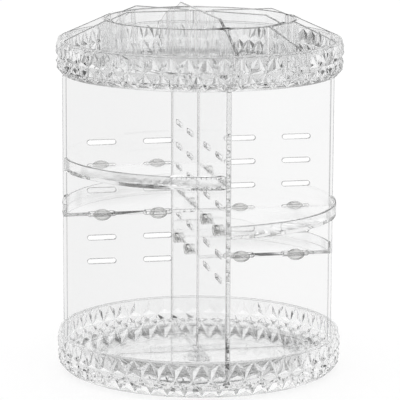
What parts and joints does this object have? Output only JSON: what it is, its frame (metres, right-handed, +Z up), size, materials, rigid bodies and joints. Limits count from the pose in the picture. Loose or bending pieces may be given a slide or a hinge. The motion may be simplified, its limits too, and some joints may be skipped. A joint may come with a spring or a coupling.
{
  "type": "rotating makeup organizer",
  "caption": "Clear round cosmetics carousel: divided top tray, upright slotted panels, clipped quarter shelves and a base tray that turns on a ball-bearing foot disc.",
  "frame": {"origin": "centre of the resting plane, on the turning axis", "axes": "+Z up along the turning axis; the four upright panels stand along +X, +Y, -X and -Y"},
  "size_m": [0.23, 0.23, 0.2909],
  "materials": {
    "tray_acrylic": "clear polished acrylic",
    "panel_acrylic": "clear polished acrylic sheet",
    "shelf_acrylic": "clear polished acrylic",
    "clip_acrylic": "clear moulded plastic, slightly grey",
    "turntable_plastic": "clear moulded plastic",
    "cage_plastic": "milky moulded plastic",
    "ball_steel": "polished steel",
    "screw_steel": "plated steel",
    "foot_rubber": "soft matt rubber"
  },
  "bodies": {
    "foot": {"foot_disc": "turntable_plastic", "rubber_feet": "foot_rubber"},
    "ball_ring": {"ball_cage": "cage_plastic", "bearing_balls": "ball_steel"},
    "carousel": {"base_tray": "tray_acrylic", "upper_race": "turntable_plastic", "pivot_washer": "screw_steel", "pivot_screw": "screw_steel", "right_panel": "panel_acrylic", "back_panel": "panel_acrylic", "left_panel": "panel_acrylic", "front_panel": "panel_acrylic", "back_right_shelf": "shelf_acrylic", "back_left_shelf": "shelf_acrylic", "front_left_shelf": "shelf_acrylic", "front_right_shelf": "shelf_acrylic", "back_right_clips": "clip_acrylic", "back_left_clips": "clip_acrylic", "front_left_clips": "clip_acrylic", "front_right_clips": "clip_acrylic"},
    "top_tray": {"top_tray": "tray_acrylic"}
  },
  "joints": [
    {"name": "turntable_spin", "type": "hinge", "parent": "foot", "child": "carousel", "pos_m": [0, 0, 0.00585], "axis": [0, 0, 1], "continuous": true},
    {"name": "ball_ring_spin", "type": "hinge", "parent": "foot", "child": "ball_ring", "pos_m": [0, 0, 0.00585], "axis": [0, 0, 1], "continuous": true},
    {"name": "top_tray_lift", "type": "slide", "parent": "carousel", "child": "top_tray", "axis": [0, 0, 1], "range_m": [0, 0.03]}
  ],
  "couplings": [
    {"joint": "ball_ring_spin", "follows": "turntable_spin", "ratio": 0.5}
  ]
}
